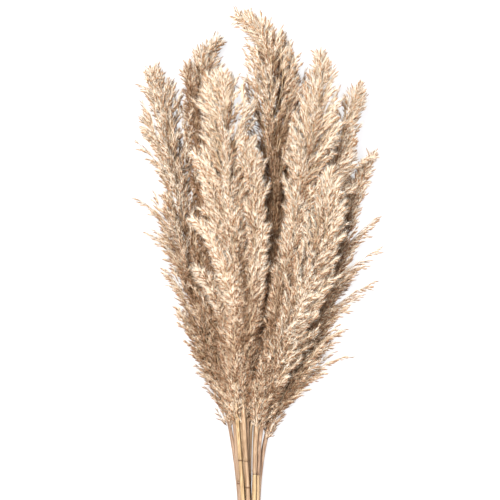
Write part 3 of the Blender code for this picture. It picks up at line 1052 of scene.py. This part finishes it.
def make_sheath(name, stalk, materials, rng):
    """The dry leaf sheath round the stem below the plume, with a slanting, ragged top."""
    top = stalk.plume_start - rng.uniform(*SHEATH_TOPS)
    low = top - rng.uniform(*SHEATH_LENGTHS)
    at = np.linspace(low, top, SHEATH_STEPS)
    share = np.linspace(0, 1, SHEATH_STEPS)
    base = np.interp(at, (0, stalk.plume_start), CANE_RADII)
    radii = base + SHEATH_GAP + SHEATH_FLARE * share
    radii[0] = base[0] + SHEATH_EDGES[0]
    radii[-1] = base[-1] + SHEATH_EDGES[1]
    sheath = tube(stalk.place(at), radii, CANE_SIDES)
    around = np.tile(math.tau * np.arange(CANE_SIDES) / CANE_SIDES, len(at))
    along = np.repeat(share, CANE_SIDES)
    ways = np.repeat(stalk.read(stalk.ways, at), CANE_SIDES, axis=0)
    phase = rng.uniform(0, math.tau)
    slant = SHEATH_SLANT * np.cos(around - phase) * along**3
    ragged = SHEATH_RAGGED * np.sin(5 * around + phase) * along**6
    sheath[0][:-2] += ways * (slant + ragged)[:, None]
    dark = 0.30 * (1 - along) ** 8 + 0.10 * np.clip(np.sin(3 * around + phase), 0, 1)
    shades = straw_shades(sheath[0], dark, rng.uniform(*SHEATH_PINKNESS))
    lift_off_table(sheath[0])
    mesh_piece(f"stem_{name}_sheath", sheath, materials["straw"], "stem_" + name, shades)


# ---- tie

TWINE_R = 0.0011
TWINE_LAY = 0.0052  # the length in which its two strands go once round each other
STRAND_STEP = 0.0006
STRAND_SIDES = 7
STRAND_OFF = 0.46  # of the twine's radius
STRAND_RADIUS = 0.56  # of the twine's radius
TIE_TURNS = 5
TURN_STEPS = 48
TIE_HEIGHT = 0.01198  # of the coil's axis
TIE_RADIUS = 0.01088
TIE_PITCH = 2 * TWINE_R + 0.0003
TIE_TOP = TIE_HEIGHT + TIE_RADIUS + 2 * TWINE_R - 0.0002
# One leg of the lashing over the coil and one loose end, as offsets from the middle of the coil's top
LASH_LEG = ((0.0011, -0.0064, -0.0018), (0.0012, -0.004, 0), (0.0012, 0.004, 0), (0.0008, 0.0064, -0.001))
LOOSE_END = ((0, 0.0015, 0.0006), (0.006, 0.004, 0.0012), (0.0105, 0.009, -0.0004), (0.0132, 0.0145, -0.0028))
LASH_STEPS = 8
LOOSE_END_STEPS = 10
KNOT_STEPS = 40
KNOT_SPREAD = 0.0013
KNOT_RADII = (0.0026, 0.0017)  # across and up
KNOT_RISE = 0.0004

FUZZ_PER_METRE = 1600
FUZZ_ROOT = 0.7  # of the twine's radius
FUZZ_OUTWARD = (0.1, 0.9)
FUZZ_LENGTHS = (0.0012, 0.0032)
FUZZ_WIDTHS = (0.00008, 0.00014)
FUZZ_TONE = 0.5


def rope(track):
    """Two strands laid round each other along a track."""
    at = np.linspace(0, track.length, max(8, round(track.length / STRAND_STEP)))
    strands = []
    for ply in (0, 1):
        turn = math.tau * (at / TWINE_LAY + ply / 2)
        path = track.place(at, STRAND_OFF * TWINE_R, turn)
        strands.append(tube(path, STRAND_RADIUS * TWINE_R, STRAND_SIDES))
    return strands


def twine_fuzz(track, rng):
    """Loose fibres that stand out along a track."""
    count = round(track.length * FUZZ_PER_METRE)
    at = rng.uniform(0, track.length, count)
    turn = rng.uniform(0, math.tau, count)
    roots = track.place(at, FUZZ_ROOT * TWINE_R, turn)
    outward = unit(roots - track.place(at))
    along = track.read(track.ways, at) * rng.choice((-1.0, 1.0), count)[:, None]
    ways = unit(along + outward * rng.uniform(*FUZZ_OUTWARD, count)[:, None])
    lengths = rng.uniform(*FUZZ_LENGTHS, count)
    return needles(roots, ways, lengths, rng.uniform(*FUZZ_WIDTHS, count), np.full(count, FUZZ_TONE))


def make_tie(materials, rng):
    """Twine wound round the stems, lashed across on top, with a knot and two loose ends."""
    low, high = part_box("bundle_tie")
    x, y = (low.x + high.x) / 2, (low.y + high.y) / 2
    angle = np.linspace(0, math.tau * TIE_TURNS, TURN_STEPS * TIE_TURNS + 1)
    coil_y = y + (angle / math.tau - TIE_TURNS / 2) * TIE_PITCH
    coil_z = TIE_HEIGHT + TIE_RADIUS * np.cos(angle)
    coil = np.stack([x + TIE_RADIUS * np.sin(angle), coil_y, coil_z], axis=1)
    lash = [(x - a, y + b, TIE_TOP + c) for a, b, c in LASH_LEG]
    lash += [(x + a, y + b, TIE_TOP + c) for a, b, c in reversed(LASH_LEG)]
    angle = np.linspace(-0.5 * math.pi, 3.5 * math.pi, KNOT_STEPS)
    knot_y = y + np.linspace(-KNOT_SPREAD, KNOT_SPREAD, KNOT_STEPS)
    knot_z = TIE_TOP + KNOT_RISE + KNOT_RADII[1] * np.sin(angle)
    knot = np.stack([x + KNOT_RADII[0] * np.cos(angle), knot_y, knot_z], axis=1)
    tracks = [Track(coil, 1), Track(lash, LASH_STEPS), Track(knot, 1)]
    for side in (-1, 1):
        loose_end = [(x + side * a, y + side * b, TIE_TOP + c) for a, b, c in LOOSE_END]
        tracks.append(Track(loose_end, LOOSE_END_STEPS))
    strands = [strand for track in tracks for strand in rope(track)]
    fuzz = joined([twine_fuzz(track, rng) for track in tracks])
    lift_off_table(fuzz[0])
    mesh_piece("tie_twine", joined(strands), materials["twine"], "bundle_tie")
    mesh_piece("tie_fuzz", (fuzz[0], fuzz[1], None), materials["twine"], "bundle_tie")


# ---- stage

FLOOR_SIZE = 8
FLOOR_COLOUR = (0.13, 0.129, 0.132, 1)
FLOOR_GLOW = 0.86
LIGHT_COLOUR = (1.0, 0.99, 1.0, 1)
SKY_STRENGTH = 0.46

SENSOR = 36  # millimetres, as Blender's lenses are
FRAME_SIDE = 0.410  # how much the camera sees at the focus height
FOCUS_HEIGHT = 0.045
CAMERA_DISTANCE = 2.4
CAMERA_FROM_TIE = (0.0009, 0.235)
FARTHEST_SEEN = 20


def make_floor():
    """A pale table top, with a glow that keeps its shadows faint."""
    bpy.ops.mesh.primitive_plane_add(size=FLOOR_SIZE, location=(0, 0, 0))
    floor = bpy.context.object
    floor.name = "floor"
    material, _, shader = new_material("floor_white", 0.9)
    shader.inputs["Base Color"].default_value = FLOOR_COLOUR
    shader.inputs["Emission Color"].default_value = LIGHT_COLOUR
    shader.inputs["Emission Strength"].default_value = FLOOR_GLOW
    floor.data.materials.append(material)


def area_light(name, place, aim, size, energy):
    data = bpy.data.lights.new(name, "AREA")
    data.shape = "DISK"
    data.size = size
    data.energy = energy
    lamp = bpy.data.objects.new(name, data)
    lamp.location = place
    lamp.rotation_mode = "QUATERNION"
    lamp.rotation_quaternion = (Vector(aim) - Vector(place)).to_track_quat("-Z", "Y")
    bpy.context.scene.collection.objects.link(lamp)


def make_lights():
    world = bpy.data.worlds.new("studio")
    bpy.context.scene.world = world
    world.use_nodes = True
    sky = world.node_tree.nodes["Background"]
    sky.inputs["Color"].default_value = LIGHT_COLOUR
    sky.inputs["Strength"].default_value = SKY_STRENGTH
    area_light("key", place=(-0.38, 0.42, 1.70), aim=(0.0, 0.08, 0.0), size=0.60, energy=75)
    area_light("fill", place=(1.10, 0.10, 1.00), aim=(0.05, 0.08, 0.0), size=0.90, energy=16)


def make_camera():
    """A camera straight above the plumes, looking down."""
    low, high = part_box("bundle_tie")
    x = (low.x + high.x) / 2 + CAMERA_FROM_TIE[0]
    y = (low.y + high.y) / 2 + CAMERA_FROM_TIE[1]
    data = bpy.data.cameras.new("camera")
    data.sensor_width = SENSOR
    data.lens = SENSOR * CAMERA_DISTANCE / FRAME_SIDE
    data.clip_end = FARTHEST_SEEN
    camera = bpy.data.objects.new("camera", data)
    camera.location = (x, y, FOCUS_HEIGHT + CAMERA_DISTANCE)
    bpy.context.scene.collection.objects.link(camera)
    bpy.context.scene.camera = camera


def build():
    materials = make_materials()
    plumes = []
    for index, (name, look) in enumerate(PLUMES.items()):
        plumes.append(grow_plume(name, look, np.random.default_rng(SEED + index)))
    for index, (plume, shade_depths) in enumerate(zip(plumes, crowd_shade_depths(plumes))):
        dress_plume(plume, shade_depths, materials, np.random.default_rng(DRESS_SEED + index))
        make_stem(plume.name, plume.stalk, materials, np.random.default_rng(STEM_SEED + index))
    make_tie(materials, np.random.default_rng(TIE_SEED))
    make_floor()
    make_lights()
    make_camera()
    bpy.context.scene.view_settings.view_transform = "Standard"


build()
